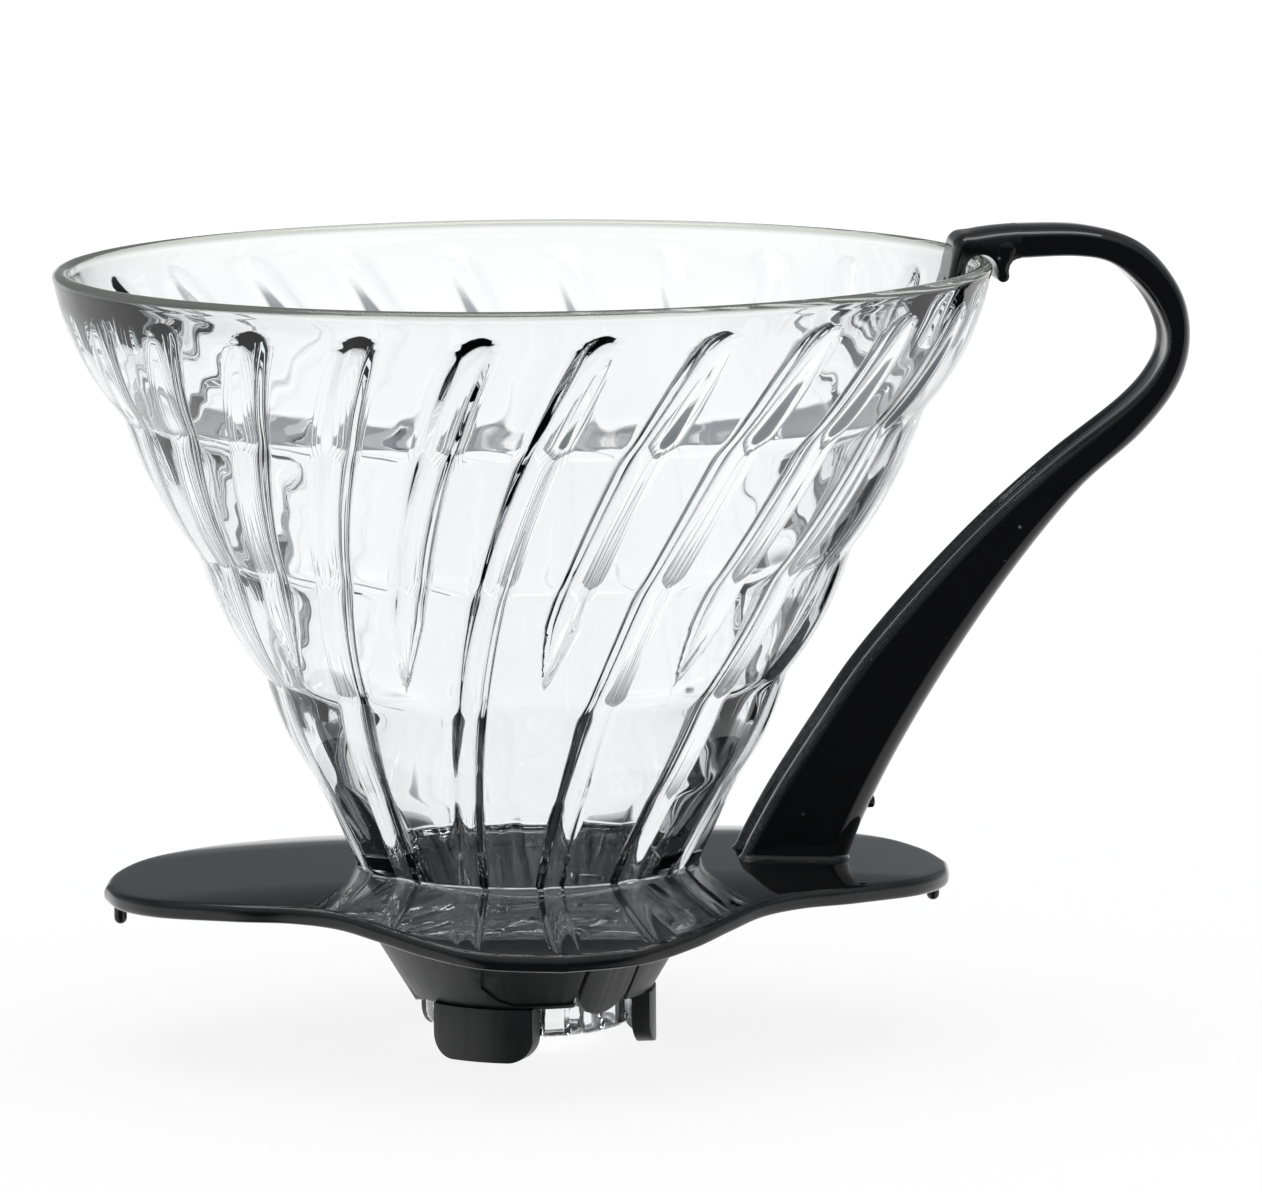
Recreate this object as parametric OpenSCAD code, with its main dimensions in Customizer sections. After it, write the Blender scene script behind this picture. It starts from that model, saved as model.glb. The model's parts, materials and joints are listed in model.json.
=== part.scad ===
// Pour over coffee dripper: a ribbed glass cone, a black holder that stands on a cup,
// and a handle that plugs into the holder and hooks over the rim of the glass.
// Frame: +Z up, origin on the cone's axis at the level of the leg ends, handle towards +X.

/* [Glass cone] */
// Outer radius of the glass at its rim
rim_r = 58; // [56:0.5:60]
// Height of the rim above the leg ends
rim_z = 97.5; // [97:0.25:98]
// Wall thickness of the glass at the rim
rim_wall = 2.1; // [1.8:0.1:2.3]
// Half angle of the inside of the cone
cone_half_angle = 28; // [28:0.5:30]
// Radius of the outlet hole
outlet_r = 9.3; // [8:0.1:9.6]
// Outer radius of the spout below the holder
spout_r = 13.1; // [12.8:0.1:13.2]
// Height of the spout's lower edge above the leg ends
spout_z = 2.5; // [2:0.25:4]

/* [Ribs inside the cone] */
// Number of long ribs, with as many short ribs between them
rib_pairs = 12; // [10:1:13]
// Height of the top of every rib
rib_top_z = 94.5; // [90:0.5:95]
// Height of the lower point of the short ribs
short_rib_z = 51; // [45:1:60]
// How far a long rib turns about the axis from top to bottom, in degrees
rib_twist = 38; // [20:1:45]
// Half width of a rib near the rim
rib_half_w = 2.4; // [1.8:0.1:2.6]
// How far a rib stands off the wall near the rim
rib_h = 1.6; // [1.2:0.1:2]

/* [Holder plate] */
// Height of the middle of the plate's top face, where the glass rests
plate_z = 22.9; // [22.6:0.1:23]
// Thickness of the plate
plate_t = 2.2; // [1.8:0.1:2.4]
// Reach of each wing from the axis
wing_reach = 53; // [52:0.5:56]
// Reach of the front and back lobes from the axis
lobe_reach = 41.1; // [40:0.1:43]
// How far the lobes droop below the middle of the plate
lobe_droop = 4.7; // [3:0.1:5]
// How far the tips of the wings droop below the middle of the plate
wing_droop = 1.9; // [1:0.1:2.2]
// Diameter of the small studs under the wing tips
stud_d = 1.6; // [1.2:0.1:2]

/* [Collar, legs and fingers] */
// Outer radius of the three legs
leg_r = 15.75; // [15.5:0.05:16]
// Width of a leg
leg_w = 13.4; // [11:0.1:14]
// Wall thickness of the legs
leg_t = 2; // [1.8:0.1:2]
// Height of the collar's lower edge
collar_z = 6.7; // [6:0.1:8]
// Outer radius of the collar at its lower edge
collar_r = 15.3; // [15.2:0.05:15.5]
// Width of a snap finger
finger_w = 7.2; // [6:0.1:8]
// Height of a snap finger's tip
finger_tip_z = 5.4; // [4.5:0.1:6]
// Wall thickness of a snap finger
finger_t = 1.1; // [0.9:0.05:1.2]
// Height of the root where a snap finger bends
finger_root_z = 15; // [14.5:0.1:15.2]

/* [Handle] */
// Thickness of the handle, across its flat sides
handle_t = 9.5; // [9:0.25:10]
// Thickness of the inner leg of the rim hook
hook_leg_t = 2; // [1.6:0.1:2.1]
// Width of the pocket that the rim of the glass sits in
pocket_w = 4; // [3.8:0.1:4.1]
// Diameter of the moulding gate on the handle's outer edge
gate_d = 1.6; // [1.2:0.1:2]

/* [Hidden] */

fine = 96;
gap = 0.35;
spline_steps = 6;
bend_steps = 12;

// Outer wall of the cone: five rings, each a shallow convex arc between two creases [radius, height]
creases = [[rim_r, rim_z], [49.5, 79.6], [40.5, 62.3], [32.4, 46.7], [26.9, 34.4], [21.4, plate_z]];
ring_bulge = [1.6, 1, 1, 0.7, 0.2];
ring_steps = 8;
rim_round = 0.9;
shoulder_r = 18.4;
neck_z = 9;
cone_top_z = rim_z - rim_round;
cone_top_r = rim_r - rim_wall;
outlet_top_z = cone_top_z - (cone_top_r - outlet_r) / tan(cone_half_angle);

// Ribs: rows from top to bottom and points across the bump
rib_rows = 11;
rib_across = 6;
rib_embed = 0.4;
rib_first_azimuth = 4.5;
rib_bottom_z = spout_z + 1;

// Quarter outline of the plate from the tip of a wing round to the tip of a lobe
plate_quarter = [[wing_reach, 0], [wing_reach - 1.5, 8], [wing_reach - 5.9, 15.2], [39, 20.6],
                 [32, 23.4], [26.5, 26.6], [21.8, 31.2],
                 [16.5, lobe_reach - 5.1], [9.5, lobe_reach - 1.3], [0, lobe_reach]];
plate_flat_y = 12;
plate_flat_x = 20;
plate_hole_r = shoulder_r + 0.3;
plate_bottom_z = plate_z - plate_t;
stud_x = wing_reach - 2;
stud_z = 16.1;

collar_slope = 0.6;
leg_round = 3;
collar_t = 1.6;
finger_inset = 0.1;
finger_root_d = 1;
window_top_z = finger_root_z + 0.75;
recess_depth = 0.4;
recess_low_z = 7.2;
recess_top_z = 14.5;
recess_half_w = 7.6;

// Handle outline [x, z]: the outer edge from the foot up to the hook, then the inner edge back down
foot_outer_x = 40;
foot_inner_x = 26.2;
handle_outer = [[foot_outer_x, plate_top(foot_outer_x)], [42.4, 28], [46.7, 36.3], [53.2, 46.9], [61, 58],
                [69.5, 68.2], [77.4, 75.1], [82, 81.2], [83.4, 87.2], [81.9, 93.2], [77.2, 98.6],
                [70.2, 100.9], [61.6, 101.2]];
handle_inner = [[61.6, 97.2], [68.5, 97.3], [73, 96.4], [76.6, 93.5], [79, 90], [80, 86.4], [78.9, 82.8],
                [75.3, 78.8], [66.4, 72.1], [57.5, 64.4], [49, 55.8], [41.7, 47.4], [36.4, 39.9],
                [31, 31.7], [27.7, 25.9], [foot_inner_x, plate_top(foot_inner_x)]];
hook_x = 53.2;
hook_top_z = 100.4;
hook_leg_z = 93.3;
hook_leg_lean = 0.16;
hook_leg_bevel_z = 94.8;
hook_corner = 1.9;
pocket_x = 54.6;
pocket_top_z = rim_z + 0.3;
nub_z = 94.3;
nub_w = 1.5;
tenon_x = 29.5;
tenon_w = 9;
tenon_t = 7;
tenon_clear = 0.15;
gate_x = 42.8;
gate_z = 28.9;

// Point of a smooth curve through the points p, between p[i] and p[i + 1]
function curve_point(p, i, t) =
    let (a = p[max(i - 1, 0)], b = p[i], c = p[i + 1], d = p[min(i + 2, len(p) - 1)])
    0.5 * (2 * b + (c - a) * t + (2 * a - 5 * b + 4 * c - d) * t * t
           + (3 * b - a - 3 * c + d) * t * t * t);

// A smooth curve through all the points p
function smooth_curve(p) = concat(
    [for (i = [0 : len(p) - 2], s = [0 : spline_steps - 1]) curve_point(p, i, s / spline_steps)],
    [p[len(p) - 1]]);

function reversed(p) = [for (i = [len(p) - 1 : -1 : 0]) p[i]];

// One ring of the outer wall, as a shallow arc that bulges outwards by b
function ring_arc(p, q, b) =
    let (d = q - p, n = [-d[1], d[0]] / norm(d))
    [for (s = [0 : ring_steps - 1]) let (t = s / ring_steps) p + d * t + n * 4 * b * t * (1 - t)];

// Radius of the inside of the cone at height z
function inner_r(z) = max(outlet_r, cone_top_r - (cone_top_z - z) * tan(cone_half_angle));

// Profile of the plate's top face from the middle to a tip, as [distance, height]: flat, then bent down
function bent_down(flat, reach, droop) = concat(
    [[0, plate_z]],
    [for (i = [0 : bend_steps]) let (t = i / bend_steps)
        [flat + (reach - flat) * t, plate_z - droop * t * t]]);

// Height of the plate's top face on the X axis
function plate_top(x) = lookup(x, bent_down(plate_flat_x, wing_reach, wing_droop));

// How far a rib has turned at the fraction t of a long rib's height, quickest at the top
function rib_turn(t) = rib_twist * t * (1 + (1 - t) / 3);

module glass_cone() {
    rim_half = rim_wall / 2;
    rim = [for (a = [180 : -30 : 0]) [rim_r - rim_half + rim_half * cos(a), cone_top_z + rim_round * sin(a)]];
    wall = [for (i = [0 : len(ring_bulge) - 1]) each ring_arc(creases[i], creases[i + 1], ring_bulge[i])];
    color("lightcyan", 0.4) rotate_extrude($fn = fine)
        polygon(concat(
            rim, [for (p = wall) if (p[1] < cone_top_z - 0.2) p],
            [[creases[5][0], plate_z], [shoulder_r, plate_z], [spout_r, neck_z],
             [spout_r - 0.2, spout_z + 0.8], [spout_r - 1, spout_z], [outlet_r + 0.5, spout_z],
             [outlet_r, spout_z + 0.5], [outlet_r, outlet_top_z]]));
}

// One rib: rounded bumps across the wall, lofted down the inside of the cone.
// It starts round at the top; a pointed rib also fades to nothing at the bottom.
module rib(azimuth, bottom_z, pointed) {
    full = rib_top_z - rib_bottom_z;
    rows = [for (i = [0 : rib_rows - 1]) let (s = i / (rib_rows - 1))
        rib_top_z - (rib_top_z - bottom_z) * (s < 0.2 ? s * s * 3 : 0.12 + (s - 0.2) * 1.1)];
    points = [for (z = rows) let (
            t = (rib_top_z - z) / full,
            fade_top = sqrt(min(1, 0.06 + (rib_top_z - z) / 3)),
            fade_end = pointed ? min(1, 0.05 + (z - bottom_z) / 12) : 1,
            w = rib_half_w * (1 - 0.45 * t) * fade_top * fade_end,
            h = rib_h * (1 - 0.45 * t) * fade_top * fade_end,
            r = inner_r(z),
            a = azimuth - rib_turn(t))
        each [for (k = [0 : rib_across - 1]) let (
                u = 180 * k / (rib_across - 1),
                reach = r - h * sin(u) + (k == 0 || k == rib_across - 1 ? rib_embed : 0),
                side = a + w * cos(u) / r * 180 / PI)
            [reach * cos(side), reach * sin(side), z]]];
    sides = [for (i = [0 : rib_rows - 2], k = [0 : rib_across - 1]) let (
            m = (k + 1) % rib_across, p = i * rib_across, q = p + rib_across)
        each [[p + k, q + k, q + m], [p + k, q + m, p + m]]];
    top = [[for (k = [0 : rib_across - 1]) k]];
    bottom = [[for (k = [rib_across - 1 : -1 : 0]) (rib_rows - 1) * rib_across + k]];
    polyhedron(points, concat(sides, top, bottom));
}

module ribs(first_azimuth, bottom_z, pointed) {
    for (i = [0 : rib_pairs - 1]) rib(first_azimuth + i * 360 / rib_pairs, bottom_z, pointed);
}

module long_ribs() {
    color("lightcyan", 0.4) ribs(rib_first_azimuth, rib_bottom_z, false);
}

module short_ribs() {
    color("lightcyan", 0.4) ribs(rib_first_azimuth + 180 / rib_pairs, short_rib_z, true);
}

// Everything below a face that is bent down both ways along one axis and straight along the other
module below_bent_face(profile, lower, width) {
    end = profile[len(profile) - 1];
    half = concat(profile, [[end[0] + 2, end[1] - 1]]);
    face = concat(reversed([for (i = [1 : len(half) - 1]) [-half[i][0], half[i][1] - lower]]),
                  [for (i = [1 : len(half) - 1]) [half[i][0], half[i][1] - lower]]);
    rotate([90, 0, 0]) linear_extrude(width, center = true)
        polygon(concat(face, [[half[len(half) - 1][0], 0], [-half[len(half) - 1][0], 0]]));
}

// Everything below the plate's domed top face, lowered by a distance
module below_dome(lower) {
    intersection() {
        below_bent_face(bent_down(plate_flat_x, wing_reach, wing_droop), lower, 2 * lobe_reach + 4);
        rotate([0, 0, 90])
            below_bent_face(bent_down(plate_flat_y, lobe_reach, lobe_droop), lower, 2 * wing_reach + 4);
    }
}

module plate_outline() {
    quarter = smooth_curve(plate_quarter);
    n = len(quarter) - 1;
    polygon(concat(
        quarter,
        [for (i = [n - 1 : -1 : 1]) [-quarter[i][0], quarter[i][1]]],
        [for (i = [0 : n]) [-quarter[i][0], -quarter[i][1]]],
        [for (i = [n - 1 : -1 : 1]) [quarter[i][0], -quarter[i][1]]]));
}

module tenon_block(clear) {
    translate([tenon_x - clear, -tenon_t / 2 - clear, plate_z - 2 * plate_t])
        cube([tenon_w + 2 * clear, tenon_t + 2 * clear, 3 * plate_t]);
}

module base_plate() {
    color("#1b1b1c") difference() {
        intersection() {
            below_dome(0);
            translate([0, 0, plate_bottom_z - lobe_droop - 5])
                linear_extrude(lobe_droop + plate_t + 10) plate_outline();
        }
        below_dome(plate_t);
        translate([0, 0, plate_bottom_z - 5]) cylinder(r = plate_hole_r, h = plate_t + 10, $fn = fine);
        tenon_block(tenon_clear);
    }
}

// Funnel-shaped shell between two heights, whose outside is a cone shifted by offset_r
module funnel(offset_r, wall, low_z, high_z) {
    low_r = collar_r + offset_r + collar_slope * (low_z - collar_z);
    high_r = collar_r + offset_r + collar_slope * (high_z - collar_z);
    rotate_extrude($fn = fine)
        polygon([[low_r - wall, low_z], [low_r, low_z], [high_r, high_z], [high_r - wall, high_z]]);
}

// U-shaped tongue seen along the radius: straight sides and a round lower end, standing out along +X
module tongue(width, tip_z, top_z) {
    centre_z = tip_z + width / 2;
    translate([0, 0, centre_z]) rotate([0, 90, 0]) cylinder(d = width, h = 40, $fn = fine);
    translate([0, -width / 2, centre_z]) cube([40, width, top_z - centre_z]);
}

// Shallow recess on the collar between a leg and a finger, with sloping lower corners
module recess() {
    w = recess_half_w;
    low = recess_low_z;
    half = [[w, recess_top_z], [w, low + 2.4], [w - 2, low + 0.7], [w - 4, low]];
    rotate([90, 0, 90]) linear_extrude(40)
        polygon(concat(half, [for (p = reversed(half)) [-p[0], p[1]]]));
}

module collar() {
    color("#232425") difference() {
        funnel(0, collar_t, collar_z, plate_bottom_z);
        for (i = [0 : 2]) rotate([0, 0, 60 + i * 120])
            tongue(finger_w + 2 * gap, finger_tip_z - 4, window_top_z);
        for (i = [0 : 2]) rotate([0, 0, 30 + i * 120]) intersection() {
            funnel(0.5, recess_depth + 0.5, collar_z - 0.5, plate_bottom_z);
            recess();
        }
    }
}

// One leg: part of a tube with rounded lower corners
module leg(azimuth) {
    low = leg_round;
    color("#1f2021") rotate([0, 0, azimuth]) intersection() {
        difference() {
            cylinder(r = leg_r, h = collar_z, $fn = fine);
            translate([0, 0, -1]) cylinder(r = leg_r - leg_t, h = collar_z + 2, $fn = fine);
        }
        union() {
            translate([0, -leg_w / 2, low]) cube([leg_r + 1, leg_w, collar_z]);
            translate([0, -leg_w / 2 + low, 0]) cube([leg_r + 1, leg_w - 2 * low, collar_z]);
            for (side = [-1, 1]) translate([0, side * (leg_w / 2 - low), low])
                rotate([0, 90, 0]) cylinder(r = low, h = leg_r + 1, $fn = fine);
        }
    }
}

// One snap finger: a tongue of the funnel, set a little inside the collar's face, with a round root
module snap_finger(azimuth) {
    root_r = collar_r - finger_inset - finger_t / 2 + collar_slope * (finger_root_z - collar_z);
    color("#1f2021") rotate([0, 0, azimuth]) {
        intersection() {
            funnel(-finger_inset, finger_t, finger_tip_z - 1, finger_root_z);
            tongue(finger_w, finger_tip_z, finger_root_z + 1);
        }
        translate([root_r, 0, finger_root_z]) rotate([90, 0, 0])
            cylinder(d = finger_root_d, h = finger_w - 0.6, center = true, $fn = 32);
    }
}

module stud(side) {
    color("#1b1b1c") intersection() {
        translate([side * stud_x, 0, stud_z + stud_d / 2]) union() {
            sphere(d = stud_d, $fn = fine);
            cylinder(d = stud_d, h = plate_bottom_z - stud_z, $fn = fine);
        }
        below_dome(plate_t);
    }
}

// The handle stands on the plate's sloping top face, so its foot follows the plate's profile
module handle() {
    profile = bent_down(plate_flat_x, wing_reach, wing_droop);
    foot = [for (p = profile) if (p[0] > foot_inner_x && p[0] < foot_outer_x) p];
    color("#141414") {
        rotate([90, 0, 0]) linear_extrude(handle_t, center = true)
            polygon(concat(smooth_curve(handle_outer), smooth_curve(handle_inner), foot));
        translate([gate_x, 0, gate_z]) rotate([0, 90, 0])
            cylinder(d = gate_d, h = 1.6, center = true, $fn = fine);
    }
}

// Hook over the rim: a bar that slopes down a little, an inner leg that leans with the wall of the cone,
// and a round-ended outer nub with a fillet up to the handle.
// The leg's lower end is bevelled on the side of the glass, so that it clears the ribs.
module rim_hook() {
    leg_x = hook_x - hook_leg_lean * (hook_top_z - hook_leg_z);
    bar_end = handle_outer[len(handle_outer) - 1];
    nub_r = nub_w / 2;
    nub_x = pocket_x + pocket_w + nub_r;
    top_corner = [for (a = [90 : 15 : 180])
        [hook_x + hook_corner * (1 + cos(a)), hook_top_z - hook_corner * (1 - sin(a))]];
    nub_end = [for (a = [180 : 20 : 360]) [nub_x + nub_r * cos(a), nub_z + nub_r * (1 + sin(a))]];
    fillet = [for (p = [[0, 1.6], [0.3, 2.3], [0.8, 2.75]]) [nub_x + nub_r + p[0], nub_z + p[1]]];
    color("#141414") rotate([90, 0, 0]) linear_extrude(handle_t, center = true) difference() {
        polygon(concat(
            [bar_end], top_corner,
            [[leg_x, hook_leg_z], [leg_x + hook_leg_t / 3, hook_leg_z],
             [leg_x + hook_leg_t - 0.3, hook_leg_bevel_z], [pocket_x, pocket_top_z - 2],
             [pocket_x, nub_z + 3], [nub_x - nub_r, nub_z + 3]],
            nub_end, fillet, [handle_inner[0]]));
        hull() for (z = [pocket_top_z - pocket_w / 2, nub_z - 4])
            translate([pocket_x + pocket_w / 2, z]) circle(d = pocket_w, $fn = 32);
    }
}

// The tenon fills its slot from the plate's underside up to its top face
module handle_tenon() {
    color("#141414") difference() {
        intersection() {
            tenon_block(0);
            below_dome(0);
        }
        below_dome(plate_t);
    }
}

glass_cone();
long_ribs();
short_ribs();
base_plate();
collar();
leg(0);  // leg_1
leg(120);  // leg_2
leg(240);  // leg_3
snap_finger(60);  // snap_finger_1
snap_finger(180);  // snap_finger_2
snap_finger(300);  // snap_finger_3
stud(-1);  // stud_left
stud(1);  // stud_right
handle();
rim_hook();
handle_tenon();
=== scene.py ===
import bmesh
import bpy
import json
import math
import numpy as np
from mathutils import Matrix, Vector

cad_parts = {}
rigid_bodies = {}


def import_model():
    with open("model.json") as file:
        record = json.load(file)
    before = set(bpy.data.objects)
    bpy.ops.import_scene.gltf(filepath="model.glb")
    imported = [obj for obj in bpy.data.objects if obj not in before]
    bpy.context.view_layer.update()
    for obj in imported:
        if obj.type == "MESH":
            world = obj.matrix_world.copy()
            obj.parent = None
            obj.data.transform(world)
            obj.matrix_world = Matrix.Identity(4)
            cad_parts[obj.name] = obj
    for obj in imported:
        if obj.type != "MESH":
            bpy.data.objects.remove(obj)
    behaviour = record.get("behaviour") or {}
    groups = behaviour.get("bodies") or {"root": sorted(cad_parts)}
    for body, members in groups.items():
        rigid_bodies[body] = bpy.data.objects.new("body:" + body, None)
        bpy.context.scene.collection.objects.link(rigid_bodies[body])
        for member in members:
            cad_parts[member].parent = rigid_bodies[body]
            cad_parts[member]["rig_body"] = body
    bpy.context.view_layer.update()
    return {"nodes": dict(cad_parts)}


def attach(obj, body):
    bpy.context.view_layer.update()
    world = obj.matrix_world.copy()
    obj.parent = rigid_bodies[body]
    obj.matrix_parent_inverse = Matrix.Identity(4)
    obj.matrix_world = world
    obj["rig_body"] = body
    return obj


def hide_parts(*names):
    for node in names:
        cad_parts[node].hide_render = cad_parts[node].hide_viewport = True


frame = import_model()

MM = 0.001

# Camera: distance and height from the cone's axis at leg level, and where it looks
CAMERA_DISTANCE = 0.900
CAMERA_HEIGHT = 0.1876
CAMERA_ORBIT = math.radians(5.6)
CAMERA_YAW = math.radians(0.83)
CAMERA_PITCH = math.radians(8.33)
CAMERA_ROLL = math.radians(-0.49)
CAMERA_LENS = 208.9
SENSOR_WIDTH = 36.0

# Glass cone, in millimetres as the CAD has it
PLATE_Z = 22.9
RIM_Z = 97.5
CREASES = [(58.0, RIM_Z), (49.5, 79.6), (40.5, 62.3), (32.4, 46.7), (26.9, 34.4), (21.4, PLATE_Z)]
RING_BULGE = [1.6, 1.0, 1.0, 0.7, -0.1]
RIM_R = 57.96
RIM_WALL = 2.1
RIM_ROUND = 0.9
# How clear the rim's top stays where its painted light is laid on
RIM_PAINTED_CLEAR = 0.74
CONE_SLOPE = math.tan(math.radians(28))
OUTLET_R = 9.3
SPOUT_R = 13.1
SPOUT_Z = 2.5
SHOULDER_R = 18.4
NECK_Z = 9.0
RIB_PAIRS = 12
RIB_TOP_Z = 94.5
RIB_BOTTOM_Z = 3.5
SHORT_RIB_Z = 51.0
RIB_TWIST = 38.0
RIB_FIRST_AZIMUTH = 4.5
RIB_HALF_W = 2.45
RIB_H = 1.6
RIB_SHRINK = 0.42
RIB_HEAD = 2.4
RIB_RISE = 8.0
RIB_HEAD_H = 0.28
RIB_PINCH = 0.72
SHORT_RIB_TIP = 7.5
COLUMNS_PER_RIB = 22

# Holder plate, domed towards the wing tips (x) and the lobes (y)
PLATE_T = 2.2
WING_FLAT = 20.0
WING_REACH = 53.0
WING_DROOP = 1.9
LOBE_FLAT = 12.0
LOBE_REACH = 41.1
LOBE_DROOP = 4.7
PLATE_QUARTER = [(WING_REACH, 0.0), (51.5, 8.0), (47.1, 15.2), (39.0, 20.6), (32.0, 23.4), (26.5, 26.6),
                 (21.8, 31.2), (16.5, 36.0), (9.5, 39.8), (0.0, LOBE_REACH)]
PLATE_ROWS = 26
PLATE_COLUMNS = 360
PLATE_HOLE_R = 18.7
SLOT_X = (29.35, 38.65)
SLOT_HALF_Y = 3.65
SLOT_Z = (15.0, 25.0)

# Handle, as [x, z] edges from the foot up to the hook
HANDLE_OUTER = [(40, 22.2), (42.4, 28), (46.7, 36.3), (53.2, 46.9), (61, 58), (69.5, 68.2), (77.4, 75.1),
                (82, 81.2), (83.36, 87.2), (81.9, 93.2), (77.2, 98.6), (70.2, 100.9), (61.6, 101.2)]
HANDLE_INNER = [(26.2, 22.83), (27.7, 25.9), (31, 31.7), (36.4, 39.9), (41.7, 47.4), (49, 55.8),
                (57.5, 64.4), (66.4, 72.1), (75.3, 78.8), (78.9, 82.8), (80, 86.4), (79, 90), (76.6, 93.5),
                (73, 96.4), (68.5, 97.3), (61.6, 97.2)]
HANDLE_HALF_T = 4.75
FOOT_FLARE = 0.35
FOOT_SINK = 0.25
GATE = (42.0, 0, 28.9)
GATE_PROFILE = [(0.8, 0), (0.8, 1.3), (0.7, 1.5), (0.45, 1.62), (0.1, 1.65)]
HOOK_X = 53.2
HOOK_TOP_Z = 100.4
HOOK_CORNER = 1.9
POCKET_X = 56.6
POCKET_R = 2.0
POCKET_Z = 95.8
NUB_X, NUB_Z, NUB_R = 59.35, 95.05, 0.75
HOOK_SIDE_STEPS = 9
MARK = (59.75, -HANDLE_HALF_T - 0.05, 98.3)
MARK_PROFILE = [(0.95, 0), (1.05, 0.05), (1.08, 0.3)]

# Sharp edges of the moulded parts, as angles between faces
SHARP_PLATE = math.radians(40)
SHARP_HANDLE = math.radians(50)

# ---------------------------------------------------------------- helpers

def make_object(name, points_mm, faces, material, body, replaced, smooth=True):
    """A mesh piece from points in millimetres, which rides on a body and stands for CAD nodes."""
    mesh = bpy.data.meshes.new(name)
    mesh.from_pydata([tuple(c * MM for c in p) for p in points_mm], [], faces)
    return finish_piece(name, mesh, material, body, replaced, smooth)


def finish_piece(name, mesh, material, body, replaced, smooth=True):
    """A clean mesh made into a piece with its material, body and the CAD nodes it stands for."""
    clean = bmesh.new()
    clean.from_mesh(mesh)
    bmesh.ops.remove_doubles(clean, verts=clean.verts, dist=1e-6)
    bmesh.ops.recalc_face_normals(clean, faces=clean.faces)
    clean.to_mesh(mesh)
    clean.free()
    for polygon in mesh.polygons:
        polygon.use_smooth = smooth
    piece = bpy.data.objects.new(name, mesh)
    bpy.context.scene.collection.objects.link(piece)
    mesh.materials.append(material)
    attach(piece, body)
    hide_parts(*replaced)
    return piece


def smooth_curve(points, steps):
    """Catmull-Rom curve through the points."""
    p = [np.array(q, float) for q in points]
    curve = []
    for i in range(len(p) - 1):
        a, b, c, d = p[max(i - 1, 0)], p[i], p[i + 1], p[min(i + 2, len(p) - 1)]
        for s in range(steps):
            t = s / steps
            curve.append(0.5 * (2 * b + (c - a) * t + (2 * a - 5 * b + 4 * c - d) * t * t
                                + (3 * b - a - 3 * c + d) * t ** 3))
    curve.append(p[-1])
    return np.array(curve)


def points_at(curve, steps):
    """Points of the curve at fractions of its length."""
    lengths = np.concatenate([[0], np.cumsum(np.linalg.norm(np.diff(curve, axis=0), axis=1))])
    wanted = np.array(steps) * lengths[-1]
    return np.stack([np.interp(wanted, lengths, curve[:, k]) for k in range(curve.shape[1])], 1)


def grid_faces(rows, columns, closed_rows=False, closed_columns=True):
    """Quads of a grid of points, rows of columns."""
    faces = []
    for i in range(rows if closed_rows else rows - 1):
        for j in range(columns if closed_columns else columns - 1):
            a, b = i * columns, ((i + 1) % rows) * columns
            k = (j + 1) % columns
            faces.append((a + j, b + j, b + k, a + k))
    return faces


def round_boss(centre, axis, profile, count=28):
    """A small turned boss closed at both ends, from a profile of (radius, height) along an axis."""
    turn = Vector((0, 0, 1)).rotation_difference(Vector(axis))
    points = []
    for r, h in profile:
        for a in np.linspace(0, 2 * math.pi, count, endpoint=False):
            points.append(tuple(Vector(centre) + turn @ Vector((r * math.cos(a), r * math.sin(a), h))))
    faces = grid_faces(len(profile), count)
    faces.append(tuple(range(count)))
    faces.append(tuple(range((len(profile) - 1) * count, len(profile) * count))[::-1])
    return points, faces


def with_extra(points, faces, extra):
    """The mesh together with a second closed shell."""
    more_points, more_faces = extra
    shift = len(points)
    return points + more_points, faces + [tuple(i + shift for i in f) for f in more_faces]


# ---------------------------------------------------------------- materials

def new_material(name):
    """A new material with its nodes, its links and its shader."""
    material = bpy.data.materials.new(name)
    material.use_nodes = True
    nodes = material.node_tree.nodes
    return material, nodes, material.node_tree.links, nodes["Principled BSDF"]


def noise(nodes, links, scale, detail=2.0, rough=0.5):
    """Noise over the object's own coordinates, in repeats per metre."""
    where = nodes.new("ShaderNodeTexCoord")
    texture = nodes.new("ShaderNodeTexNoise")
    texture.inputs["Scale"].default_value = scale
    texture.inputs["Detail"].default_value = detail
    texture.inputs["Roughness"].default_value = rough
    links.new(where.outputs["Object"], texture.inputs["Vector"])
    return texture.outputs["Fac"]


def remap(nodes, links, value, low, high, from_low=0.0, from_high=1.0):
    """A value carried from one range over to another, and held at its ends."""
    node = nodes.new("ShaderNodeMapRange")
    node.inputs["From Min"].default_value = from_low
    node.inputs["From Max"].default_value = from_high
    node.inputs["To Min"].default_value = low
    node.inputs["To Max"].default_value = high
    links.new(value, node.inputs["Value"])
    return node.outputs["Result"]


def combine(nodes, links, a, b, operation="MULTIPLY"):
    """Two values multiplied, or put together by another operation."""
    node = nodes.new("ShaderNodeMath")
    node.operation = operation
    links.new(a, node.inputs[0])
    links.new(b, node.inputs[1])
    return node.outputs["Value"]


def bump(nodes, links, height, distance, under=None):
    """A bump of some depth in metres, which may lie on another one."""
    node = nodes.new("ShaderNodeBump")
    node.inputs["Distance"].default_value = distance
    node.inputs["Strength"].default_value = 1.0
    links.new(height, node.inputs["Height"])
    if under is not None:
        links.new(under, node.inputs["Normal"])
    return node.outputs["Normal"]


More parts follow.
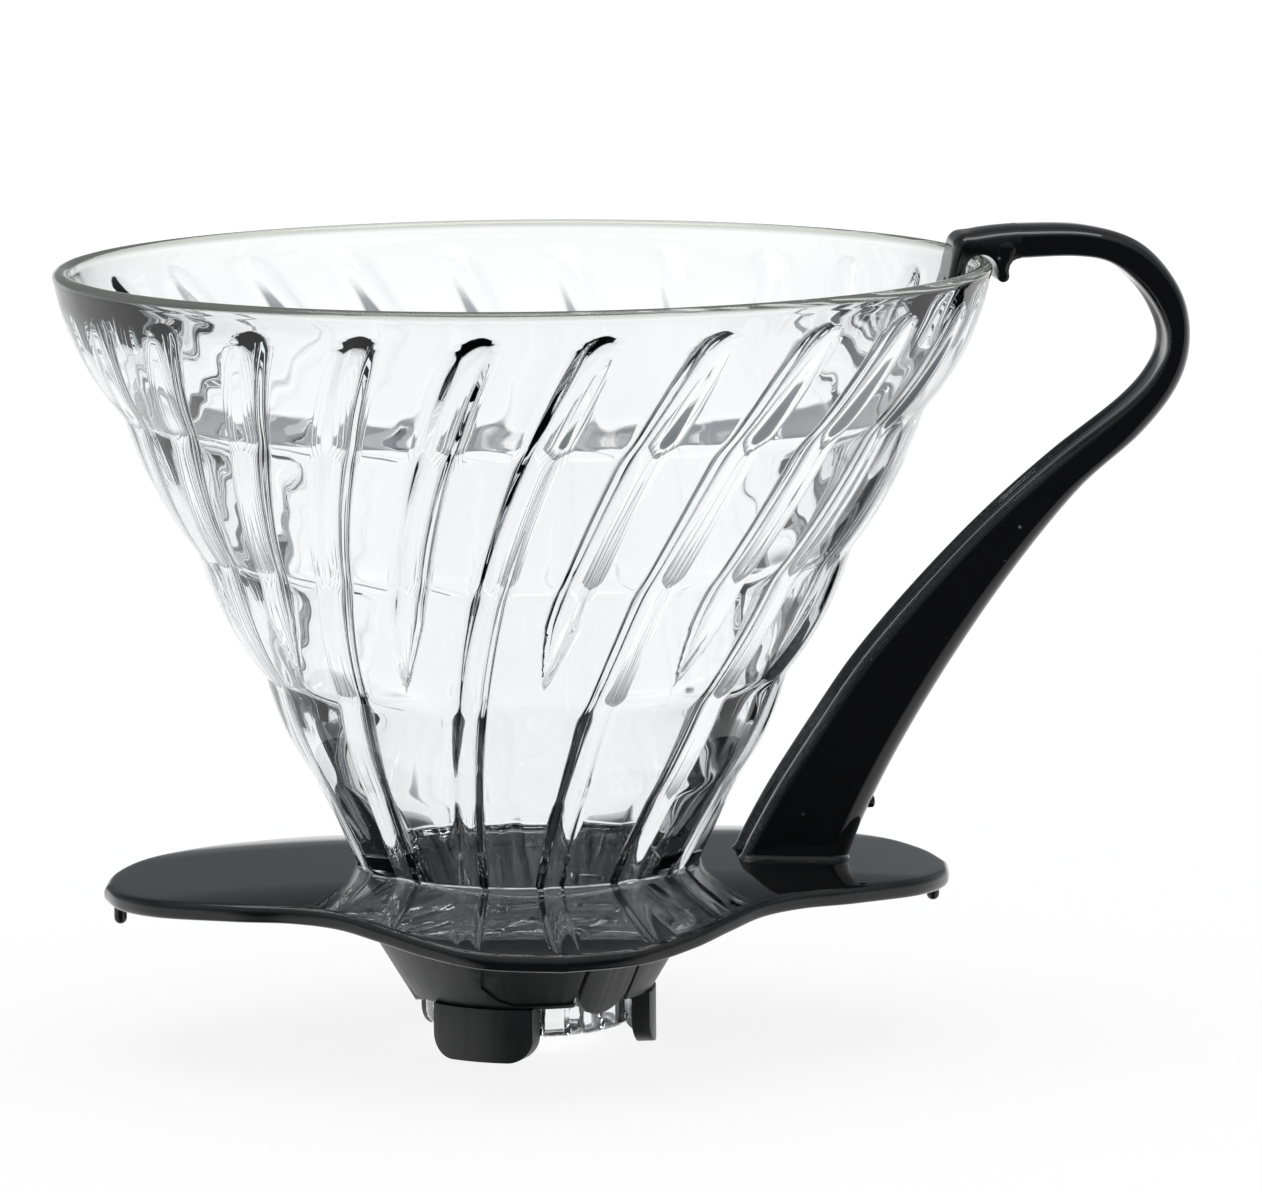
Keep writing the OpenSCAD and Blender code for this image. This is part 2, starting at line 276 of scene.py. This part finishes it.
def glass_material():
    """Clear pressed glass: slightly wavy, faintly green in the thick parts, the rim's top painted a dull
    olive-grey as painted light on its rounded edge.
    """
    material, nodes, links, shader = new_material("clear_glass")
    where = nodes.new("ShaderNodeTexCoord")
    split = nodes.new("ShaderNodeSeparateXYZ")
    links.new(where.outputs["Object"], split.inputs["Vector"])
    rim_low, rim_high = (RIM_Z - 1.1) * MM, (RIM_Z - 0.5) * MM
    clear = remap(nodes, links, split.outputs["Z"], 1.0, RIM_PAINTED_CLEAR, rim_low, rim_high)
    links.new(clear, shader.inputs["Transmission Weight"])
    # The rim's top is made less clear and painted a dull olive-grey: painted light standing in for the light
    # its rounded edge shows
    painted_rim_light = remap(nodes, links, split.outputs["Z"], 0.0, 1.0, rim_low, rim_high)
    painted_rim_colour = nodes.new("ShaderNodeMix")
    painted_rim_colour.data_type = "RGBA"
    painted_rim_colour.inputs["A"].default_value = (1, 1, 1, 1)
    painted_rim_colour.inputs["B"].default_value = (0.56, 0.60, 0.52, 1)
    links.new(painted_rim_light, painted_rim_colour.inputs["Factor"])
    links.new(painted_rim_colour.outputs["Result"], shader.inputs["Base Color"])
    shader.inputs["IOR"].default_value = 1.5
    haze = remap(nodes, links, noise(nodes, links, 90, 3.0), 0.0, 0.035, 0.45, 0.8)
    links.new(haze, shader.inputs["Roughness"])
    waves = noise(nodes, links, 120, 1.0)
    links.new(bump(nodes, links, waves, 0.00011), shader.inputs["Normal"])
    tint = nodes.new("ShaderNodeVolumeAbsorption")
    tint.inputs["Color"].default_value = (0.80, 0.85, 0.88, 1)
    tint.inputs["Density"].default_value = 28.0
    links.new(tint.outputs["Volume"], nodes["Material Output"].inputs["Volume"])
    return material


def plastic_material(name, colour, low_rough, high_rough, grain_scale, grain_depth, dust):
    """Black moulded plastic: mottled gloss, a fine surface grain and a few specks of dust."""
    material, nodes, links, shader = new_material(name)
    where = nodes.new("ShaderNodeTexCoord")
    specks = nodes.new("ShaderNodeTexVoronoi")
    specks.inputs["Scale"].default_value = 420
    links.new(where.outputs["Object"], specks.inputs["Vector"])
    near = remap(nodes, links, specks.outputs["Distance"], dust, 0.0, 0.03, 0.11)
    few = remap(nodes, links, specks.outputs["Color"], 0.0, 1.0, 0.80, 0.9)
    mix = nodes.new("ShaderNodeMix")
    mix.data_type = "RGBA"
    mix.inputs["A"].default_value = (*colour, 1)
    mix.inputs["B"].default_value = (0.35, 0.35, 0.34, 1)
    links.new(combine(nodes, links, near, few), mix.inputs["Factor"])
    links.new(mix.outputs["Result"], shader.inputs["Base Color"])
    mottled = remap(nodes, links, noise(nodes, links, 60, 4.0), low_rough, high_rough, 0.3, 0.7)
    links.new(mottled, shader.inputs["Roughness"])
    flow = bump(nodes, links, noise(nodes, links, 55, 1.0), 0.00003)
    grain = bump(nodes, links, noise(nodes, links, grain_scale, 2.0), grain_depth, flow)
    links.new(grain, shader.inputs["Normal"])
    shader.inputs["IOR"].default_value = 1.49
    return material


CLEAR_GLASS = glass_material()
GLOSS_BLACK = plastic_material("gloss_black_plastic", (0.005, 0.005, 0.0055), low_rough=0.0,
                               high_rough=0.012, grain_scale=900, grain_depth=0.0000005, dust=0.5)
SATIN_BLACK = plastic_material("satin_black_plastic", (0.009, 0.0094, 0.0098), low_rough=0.36,
                               high_rough=0.48, grain_scale=2600, grain_depth=0.00002, dust=0.15)


# ---------------------------------------------------------------- glass cone

def inner_radius(z):
    """Radius of the inside of the cone and its outlet."""
    top_z, top_r = RIM_Z - RIM_ROUND, RIM_R - RIM_WALL
    return max(OUTLET_R, top_r - (top_z - z) * CONE_SLOPE)


def outer_wall():
    """Outer wall from under the rim to the spout, as (radius, height)."""
    wall = []
    for top, low, bulge in zip(CREASES, CREASES[1:], RING_BULGE):
        p, q = np.array(top), np.array(low)
        along = q - p
        out = np.array([-along[1], along[0]]) / np.linalg.norm(along)
        for t in np.linspace(0, 1, 26)[:-1]:
            wall.append(p + along * t + out * 4 * bulge * t * (1 - t))
    wall = np.array([w for w in wall if w[1] < RIM_Z - RIM_ROUND - 0.3])
    for _ in range(2):
        wall[1:-1] = (wall[:-2] + 2 * wall[1:-1] + wall[2:]) / 4
    return wall


def glass_loop():
    """Closed loop of (radius, height, inside): rim, outer wall, spout, outlet and inner wall."""
    centre_r, centre_z = RIM_R - RIM_WALL / 2, RIM_Z - RIM_ROUND
    rim = [(centre_r + RIM_WALL / 2 * math.cos(a), centre_z + RIM_ROUND * math.sin(a))
           for a in np.linspace(math.pi, 0, 13)]
    wall = [tuple(w) for w in outer_wall()]
    seat = PLATE_Z - 0.05
    below = [CREASES[-1], (20.6, seat), (SHOULDER_R + 0.4, seat), (SHOULDER_R, seat - 0.35)]
    shoulder_z = seat - 0.35
    for t in np.linspace(0.1, 1, 10):
        below.append((SHOULDER_R + (SPOUT_R - SHOULDER_R) * t, shoulder_z + (NECK_Z - seat + 0.35) * t))
    below += [(SPOUT_R - 0.05, z) for z in (7.5, 6.0, 4.6, 3.8)]
    below += [(SPOUT_R - 0.2, 3.2), (SPOUT_R - 0.6, 2.7), (SPOUT_R - 1.2, SPOUT_Z)]
    below += [(OUTLET_R + 1.0, SPOUT_Z), (OUTLET_R + 0.4, SPOUT_Z + 0.15), (OUTLET_R + 0.1, SPOUT_Z + 0.5)]
    loop = [(r, z, False) for r, z in rim + wall + below]
    heights = [*np.arange(SPOUT_Z + 0.9, 16, 1.0), *np.arange(16, 86, 0.9), *np.arange(86, 92.3, 0.3),
               *np.arange(92.3, 94.9, 0.15), *np.arange(94.9, 96.2, 0.4)]
    loop += [(inner_radius(z), z, True) for z in heights]
    return loop


def rib_turn(z):
    """How far a rib has turned at this height, in degrees."""
    t = min(1.0, max(0.0, (RIB_TOP_Z - z) / (RIB_TOP_Z - RIB_BOTTOM_Z)))
    return RIB_TWIST * t * (1 + (1 - t) / 3)


def rib_height(offset_mm, z, short):
    """How far a rib stands off the wall at a sideways distance from its middle.

    A rib is a long bump with a round head, which reaches its full height some way below the head."""
    if short and z <= SHORT_RIB_Z:
        return 0.0
    t = (RIB_TOP_Z - z) / (RIB_TOP_Z - RIB_BOTTOM_Z)
    width = RIB_HALF_W * (1 - RIB_SHRINK * t)
    height = RIB_H * (1 - 0.2 * t)
    if short:
        tip = min(1.0, (z - SHORT_RIB_Z) / SHORT_RIB_TIP)
        width *= tip ** 0.65
        height *= tip ** 0.4
    risen = min(1.0, max(0.0, RIB_TOP_Z - z) / RIB_RISE)
    rise = RIB_HEAD_H + (1 - RIB_HEAD_H) * (1 - (1 - risen) ** 2)
    into_head = max(0.0, z - RIB_TOP_Z + RIB_HEAD) / RIB_HEAD
    x = math.hypot(offset_mm / width, into_head)
    if x >= 1:
        return 0.0
    return height * rise * (1 - x ** (2.2 + 3 * into_head ** 2)) ** 0.8


def build_glass():
    loop = glass_loop()
    columns = 2 * RIB_PAIRS * COLUMNS_PER_RIB
    sector = 360 / (2 * RIB_PAIRS)
    points = []
    for r, z, inside in loop:
        pinch = RIB_PINCH * min(1.0, max(0.0, (z - 5) / 60))
        turn = rib_turn(z)
        for j in range(columns):
            rib, step = divmod(j, COLUMNS_PER_RIB)
            u = step / COLUMNS_PER_RIB - 0.5
            offset = sector * (u - pinch * math.sin(2 * math.pi * u) / (2 * math.pi))
            angle = math.radians(RIB_FIRST_AZIMUTH + rib * sector + offset - turn)
            reach = r
            if inside:
                reach -= rib_height(math.radians(offset) * r, z, rib % 2 == 1)
            points.append((reach * math.cos(angle), reach * math.sin(angle), z))
    faces = grid_faces(len(loop), columns, closed_rows=True)
    return make_object("glass_dripper_cone", points, faces, CLEAR_GLASS, "glass",
                       ["glass_cone", "long_ribs", "short_ribs"])


# ---------------------------------------------------------------- holder

def drop(distance, flat, reach, droop):
    """How far a face that is flat in its middle has bent down at a distance from it."""
    return droop * (max(0.0, abs(distance) - flat) / (reach - flat)) ** 2


def plate_drop(x, y):
    """How far the domed top face lies below its middle."""
    return drop(x, WING_FLAT, WING_REACH, WING_DROOP) + drop(y, LOBE_FLAT, LOBE_REACH, LOBE_DROOP)


def plate_reach(angles):
    """Distance from the axis to the plate's edge at each angle."""
    quarter = smooth_curve(PLATE_QUARTER, 12)
    at = np.arctan2(quarter[:, 1], quarter[:, 0])
    reach = np.hypot(quarter[:, 0], quarter[:, 1])
    folded = np.abs((angles + math.pi / 2) % math.pi - math.pi / 2)
    return np.interp(folded, at, reach)


def cut_slot(piece):
    """Takes the slot for the handle's tenon out of the plate."""
    low_x, high_x = SLOT_X
    low_y, high_y = -SLOT_HALF_Y, SLOT_HALF_Y
    corners = [(x, y, z) for z in SLOT_Z
               for x, y in ((low_x, low_y), (high_x, low_y), (high_x, high_y), (low_x, high_y))]
    faces = [(3, 2, 1, 0), (4, 5, 6, 7), (0, 1, 5, 4), (1, 2, 6, 5), (2, 3, 7, 6), (3, 0, 4, 7)]
    mesh = bpy.data.meshes.new("slot_cutter")
    mesh.from_pydata([tuple(c * MM for c in p) for p in corners], [], faces)
    cutter = bpy.data.objects.new("slot_cutter", mesh)
    bpy.context.scene.collection.objects.link(cutter)
    slot = piece.modifiers.new("slot", "BOOLEAN")
    slot.object = cutter
    slot.solver = "EXACT"
    bpy.context.view_layer.update()
    shaped = bpy.data.meshes.new_from_object(piece.evaluated_get(bpy.context.evaluated_depsgraph_get()))
    piece.modifiers.clear()
    piece.data = shaped
    shaped.set_sharp_from_angle(angle=SHARP_PLATE)
    bpy.data.objects.remove(cutter)


def build_plate():
    """The domed plate: a top face, a rounded edge and an underside, from the hole outwards and back."""
    angles = np.linspace(0, 2 * math.pi, PLATE_COLUMNS, endpoint=False)
    edge = plate_reach(angles)
    half = PLATE_T / 2
    flat = edge - half
    rows = [(PLATE_HOLE_R + (flat - PLATE_HOLE_R) * t, half) for t in np.linspace(0, 1, PLATE_ROWS)]
    for a in np.radians(np.linspace(90, -90, 17)[1:-1]):
        out = half * math.cos(a) ** 0.8
        lift = half * math.copysign(abs(math.sin(a)) ** 0.8, a)
        rows.append((flat + out, lift))
    rows += [(PLATE_HOLE_R + (flat - PLATE_HOLE_R) * t, -half) for t in np.linspace(1, 0, PLATE_ROWS)]
    points = []
    for reach, lift in rows:
        for r, a in zip(reach, angles):
            x, y = r * math.cos(a), r * math.sin(a)
            points.append((x, y, PLATE_Z - half - plate_drop(x, y) + lift))
    faces = grid_faces(len(rows), PLATE_COLUMNS, closed_rows=True)
    piece = make_object("holder_plate", points, faces, GLOSS_BLACK, "holder", ["base_plate"])
    cut_slot(piece)


def soften_node(node, material, width_mm, name):
    """A copy of a CAD node with rounded edges."""
    mesh = frame["nodes"][node].data.copy()
    mesh.name = name
    mesh.materials.clear()
    shape = bmesh.new()
    shape.from_mesh(mesh)
    bmesh.ops.remove_doubles(shape, verts=shape.verts, dist=2e-6)
    bmesh.ops.dissolve_limit(shape, angle_limit=math.radians(0.5), verts=shape.verts, edges=shape.edges)
    shape.to_mesh(mesh)
    shape.free()
    body = frame["nodes"][node]["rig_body"]
    piece = finish_piece(name, mesh, material, body, [node])
    bevel = piece.modifiers.new("bevel", "BEVEL")
    bevel.width = width_mm * MM
    bevel.segments = 3
    bevel.limit_method = "ANGLE"
    bevel.angle_limit = math.radians(40)
    bevel.harden_normals = True
    return piece


# ---------------------------------------------------------------- handle

def handle_section(width, groove):
    """Half section of the handle: (distance from the inner edge, half thickness).

    The inner side has two round lips with a groove between them, the outer side is rolled over."""
    depth = groove * min(1.25, 0.3 * width)
    flat = min(1.6, 0.38 * width)
    lips = [(depth, 0.0), (depth, 1.3), (0.85 * depth, 1.8), (0.5 * depth, 2.2), (0.16 * depth, 2.6),
            (0.0, 3.05), (0.0, 3.4), (0.05, 3.75), (0.2, 4.15), (0.5, 4.45), (0.95, 4.65), (1.6, 4.75)]
    section = [(d * flat / 1.6 if y > 3.5 else d, y) for d, y in lips]
    roll = min(0.30 * width, 3.0)
    for t in (0.3, 0.6, 0.9):
        section.append((flat + (width - roll - flat) * t, HANDLE_HALF_T))
    for a in np.radians(np.linspace(0, 90, 14)):
        section.append((width - roll + roll * math.sin(a), 0.6 + (HANDLE_HALF_T - 0.6) * math.cos(a)))
    return section


def build_handle():
    steps = np.concatenate([np.linspace(0, 0.011, 9), np.linspace(0.016, 1, 170)])
    outer = points_at(smooth_curve(HANDLE_OUTER, 80), steps)
    inner = points_at(smooth_curve(HANDLE_INNER, 80), steps)
    points = []
    for step, i_point, o_point in zip(steps, inner, outer):
        width = np.linalg.norm(o_point - i_point)
        along = (o_point - i_point) / width
        flare = FOOT_FLARE * max(0.0, 1 - step / 0.006) ** 2
        groove = min(1.0, max(0.0, (0.86 - step) / 0.1))
        sink = FOOT_SINK if step == 0 else 0.0
        ring = []
        for d, y in handle_section(width, groove):
            spread = flare * (2 * d / width - 1)
            ring.append((d + spread, y + flare * min(1.0, y / 2)))
        for d, y in [(d, -y) for d, y in ring] + [(d, y) for d, y in reversed(ring[1:-1])]:
            x, z = i_point + along * d
            points.append((x, y, z - sink))
    count = 2 * len(ring) - 2
    faces = grid_faces(len(steps), count)
    faces.append(tuple(range(count)))
    faces.append(tuple(range((len(steps) - 1) * count, len(steps) * count))[::-1])
    points, faces = with_extra(points, faces, round_boss(GATE, (1, 0, 0), GATE_PROFILE))
    piece = make_object("side_handle", points, faces, GLOSS_BLACK, "handle", ["handle"])
    piece.data.set_sharp_from_angle(angle=SHARP_HANDLE)


def arc(centre_x, centre_z, radius, start, end, count):
    """Points of an arc in the XZ plane, from one angle to another in degrees."""
    return [(centre_x + radius * math.cos(a), centre_z + radius * math.sin(a))
            for a in np.radians(np.linspace(start, end, count))]


def hook_outline():
    """Outline of the rim hook, anticlockwise from the handle's top face.

    Each point is (x, z, depth of the rolled edge, height of the rolled edge)."""
    top = [(61.6, 101.2), (60.2, 101.12), (58.6, 101.0), (57.0, 100.8), (56.0, 100.62)]
    corner = arc(HOOK_X + HOOK_CORNER, HOOK_TOP_Z - HOOK_CORNER, HOOK_CORNER, 90, 180, 10)
    leg = [(52.95, 97.0), (52.6, 95.2), (52.1, 93.7)]
    toe = [(52.1, 93.4), (52.3, 93.3), (52.75, 93.35), (53.8, 94.8), (54.6, 95.6)]
    pocket = arc(POCKET_X, POCKET_Z, POCKET_R, 180, 0, 15)
    nub = arc(NUB_X, NUB_Z, NUB_R, 180, 360, 11)
    fillet = [(60.12, 95.7), (60.25, 96.3), (60.6, 96.85), (61.1, 97.12), (61.6, 97.2)]
    outline = []
    for run, deep, high in ((top, 4.15, 1.2), (corner, 2.6, 1.0), (leg, 1.4, 0.8), (toe, 0.3, 0.25),
                            (pocket, 0.3, 0.3), (nub, 0.45, 0.4), (fillet, 0.9, 0.8)):
        outline += [(x, z, deep, high) for x, z in run]
    return outline


def build_hook():
    """The rim hook: its outline at a row of depths, drawn inwards near both sides to roll the edges."""
    outline = hook_outline()
    count = len(outline)
    shape = np.array([(x, z) for x, z, _, _ in outline])
    ahead = np.roll(shape, -1, 0) - np.roll(shape, 1, 0)
    inward = np.stack([-ahead[:, 1], ahead[:, 0]], 1) / np.linalg.norm(ahead, axis=1)[:, None]
    inward[0] = (0, -1)
    inward[-1] = (0, 1)
    points = []
    for side in (-1, 1):
        start, end = (90, 0) if side < 0 else (0, 90)
        for a in np.radians(np.linspace(start, end, HOOK_SIDE_STEPS)):
            for (x, z, deep, high), n in zip(outline, inward):
                inset = high * (1 - math.cos(a))
                y = side * (HANDLE_HALF_T - deep * (1 - math.sin(a)))
                points.append((x + n[0] * inset, y, z + n[1] * inset))
    rows = 2 * HOOK_SIDE_STEPS
    faces = grid_faces(rows, count)
    faces.append(tuple(range(count)))
    faces.append(tuple(range((rows - 1) * count, rows * count))[::-1])
    points, faces = with_extra(points, faces, round_boss(MARK, (0, 1, 0), MARK_PROFILE))
    piece = make_object("handle_rim_hook", points, faces, GLOSS_BLACK, "handle",
                        ["rim_hook"])
    piece.data.set_sharp_from_angle(angle=SHARP_HANDLE)


# ---------------------------------------------------------------- assembly

build_glass()
build_plate()
build_handle()
build_hook()
soften_node("collar", SATIN_BLACK, 0.15, "holder_collar")
for n in (1, 2, 3):
    soften_node(f"leg_{n}", SATIN_BLACK, 0.35, f"holder_leg_{n}")
    soften_node(f"snap_finger_{n}", SATIN_BLACK, 0.25, f"holder_finger_{n}")
for node in ("stud_left", "stud_right", "handle_tenon"):
    frame["nodes"][node].data.materials.clear()
    frame["nodes"][node].data.materials.append(GLOSS_BLACK)


# ---------------------------------------------------------------- stage, light and camera

# Brightness of the room against height: 0 is straight down, 0.5 the horizon and 1 straight up
BACK_LIGHT = [(0.0, 1.0), (0.509, 1.0), (0.526, 0.7), (0.545, 0.3), (0.6, 0.19), (0.7, 0.15), (0.82, 0.15),
              (0.95, 0.6), (1.0, 0.8)]
FRONT_LIGHT = [(0.0, 0.04), (0.51, 0.04), (0.55, 0.12), (0.62, 0.3), (0.75, 0.5), (1.0, 0.8)]
SIDE_LIGHT = [(0.0, 0.95), (0.5, 0.95), (0.526, 0.85), (0.578, 0.5), (0.671, 0.35), (0.854, 0.3),
              (1.0, 0.8)]


def build_stage():
    """A wide pale floor that glows a little more with the distance, so it runs into the backdrop."""
    mesh = bpy.data.meshes.new("floor")
    mesh.from_pydata([(-6, -6, 0), (6, -6, 0), (6, 6, 0), (-6, 6, 0)], [], [(0, 1, 2, 3)])
    floor = bpy.data.objects.new("floor", mesh)
    bpy.context.scene.collection.objects.link(floor)
    material, nodes, links, shader = new_material("pale_floor")
    shader.inputs["Roughness"].default_value = 0.9
    shader.inputs["Specular IOR Level"].default_value = 0.0
    shader.inputs["Base Color"].default_value = (0.12, 0.12, 0.12, 1)
    shader.inputs["Emission Color"].default_value = (1, 1, 1, 1)
    where = nodes.new("ShaderNodeTexCoord")
    length = nodes.new("ShaderNodeVectorMath")
    length.operation = "LENGTH"
    links.new(where.outputs["Object"], length.inputs[0])
    glow = remap(nodes, links, length.outputs["Value"], 0.88, 1.0, 0.15, 1.0)
    links.new(glow, shader.inputs["Emission Strength"])
    mesh.materials.append(material)
    floor.visible_glossy = False


def grey_ramp(nodes, links, value, stops):
    """Colour for a value from stops of (value, brightness); the dark parts are a little blue."""
    ramp = nodes.new("ShaderNodeValToRGB")
    elements = ramp.color_ramp.elements
    elements.remove(elements[1])
    elements[0].position = stops[0][0]
    for i, (position, level) in enumerate(stops):
        element = elements[0] if i == 0 else elements.new(position)
        blue = 0.1 * max(0.0, 1 - level * 1.5)
        element.color = (level * (1 - blue), level, level * (1 + blue), 1)
    links.new(value, ramp.inputs["Fac"])
    return ramp.outputs["Color"]


def mixed(nodes, links, a, b, factor):
    """One colour fading into another."""
    node = nodes.new("ShaderNodeMix")
    node.data_type = "RGBA"
    links.new(factor, node.inputs["Factor"])
    links.new(a, node.inputs["A"])
    links.new(b, node.inputs["B"])
    return node.outputs["Result"]


def build_world():
    """A room of soft light: white up to the horizon at the back, grey above it, dark on the camera's side."""
    world = bpy.data.worlds.new("studio")
    bpy.context.scene.world = world
    world.use_nodes = True
    nodes, links = world.node_tree.nodes, world.node_tree.links
    where = nodes.new("ShaderNodeTexCoord")
    turn = nodes.new("ShaderNodeVectorRotate")
    turn.rotation_type = "Z_AXIS"
    turn.inputs["Angle"].default_value = CAMERA_ORBIT
    links.new(where.outputs["Generated"], turn.inputs["Vector"])
    split = nodes.new("ShaderNodeSeparateXYZ")
    links.new(turn.outputs["Vector"], split.inputs["Vector"])
    height = remap(nodes, links, split.outputs["Z"], 0.0, 1.0, -1.0, 1.0)
    back, front, side = (grey_ramp(nodes, links, height, stops)
                         for stops in (BACK_LIGHT, FRONT_LIGHT, SIDE_LIGHT))
    facing = remap(nodes, links, split.outputs["Y"], 0.0, 1.0, -0.1, 0.3)
    to_right = remap(nodes, links, split.outputs["X"], 0.0, 1.0, 0.25, 0.5)
    to_left = remap(nodes, links, split.outputs["X"], 1.0, 0.0, -0.8, -0.55)
    right = combine(nodes, links, to_right, facing)
    left = combine(nodes, links, to_left, facing)
    far = nodes.new("ShaderNodeMath")
    far.operation = "ABSOLUTE"
    links.new(split.outputs["X"], far.inputs[0])
    lean = remap(nodes, links, split.outputs["Z"], 0.25, -0.25, -0.5, 0.5)
    far_low = combine(nodes, links, far.outputs["Value"], lean, "ADD")
    far_side = remap(nodes, links, far_low, 0.0, 1.0, 0.55, 0.85)
    either_side = combine(nodes, links, right, left, "MAXIMUM")
    sideways = combine(nodes, links, either_side, far_side, "MAXIMUM")
    room = mixed(nodes, links, front, back, facing)
    light = mixed(nodes, links, room, side, sideways)
    links.new(light, nodes["Background"].inputs["Color"])
    nodes["Background"].inputs["Strength"].default_value = 1.0


def area_light(name, location, target, size_x, size_y, watts):
    light = bpy.data.lights.new(name, "AREA")
    light.shape = "RECTANGLE"
    light.size = size_x
    light.size_y = size_y
    light.energy = watts
    lamp = bpy.data.objects.new(name, light)
    bpy.context.scene.collection.objects.link(lamp)
    lamp.location = location
    lamp.rotation_euler = (Vector(target) - Vector(location)).to_track_quat("-Z", "Y").to_euler()


def build_camera():
    data = bpy.data.cameras.new("camera")
    data.sensor_width = SENSOR_WIDTH
    data.sensor_fit = "HORIZONTAL"
    data.lens = CAMERA_LENS
    data.clip_end = 50
    camera = bpy.data.objects.new("camera", data)
    bpy.context.scene.collection.objects.link(camera)
    forward = Vector((math.sin(CAMERA_YAW) * math.cos(CAMERA_PITCH),
                      math.cos(CAMERA_YAW) * math.cos(CAMERA_PITCH), -math.sin(CAMERA_PITCH)))
    right = Vector((math.cos(CAMERA_YAW), -math.sin(CAMERA_YAW), 0))
    up = right.cross(forward)
    rolled_right = right * math.cos(CAMERA_ROLL) + up * math.sin(CAMERA_ROLL)
    rolled_up = up * math.cos(CAMERA_ROLL) - right * math.sin(CAMERA_ROLL)
    aim = Matrix((rolled_right, rolled_up, -forward)).transposed().to_4x4()
    place = Matrix.Translation((0, -CAMERA_DISTANCE, CAMERA_HEIGHT))
    camera.matrix_world = Matrix.Rotation(-CAMERA_ORBIT, 4, "Z") @ place @ aim
    bpy.context.scene.camera = camera


build_stage()
build_world()
area_light("top_softbox", (0, 0.05, 1.1), (0, 0, 0.06), 1.0, 0.7, 7)
build_camera()
bpy.context.scene.view_settings.view_transform = "Standard"
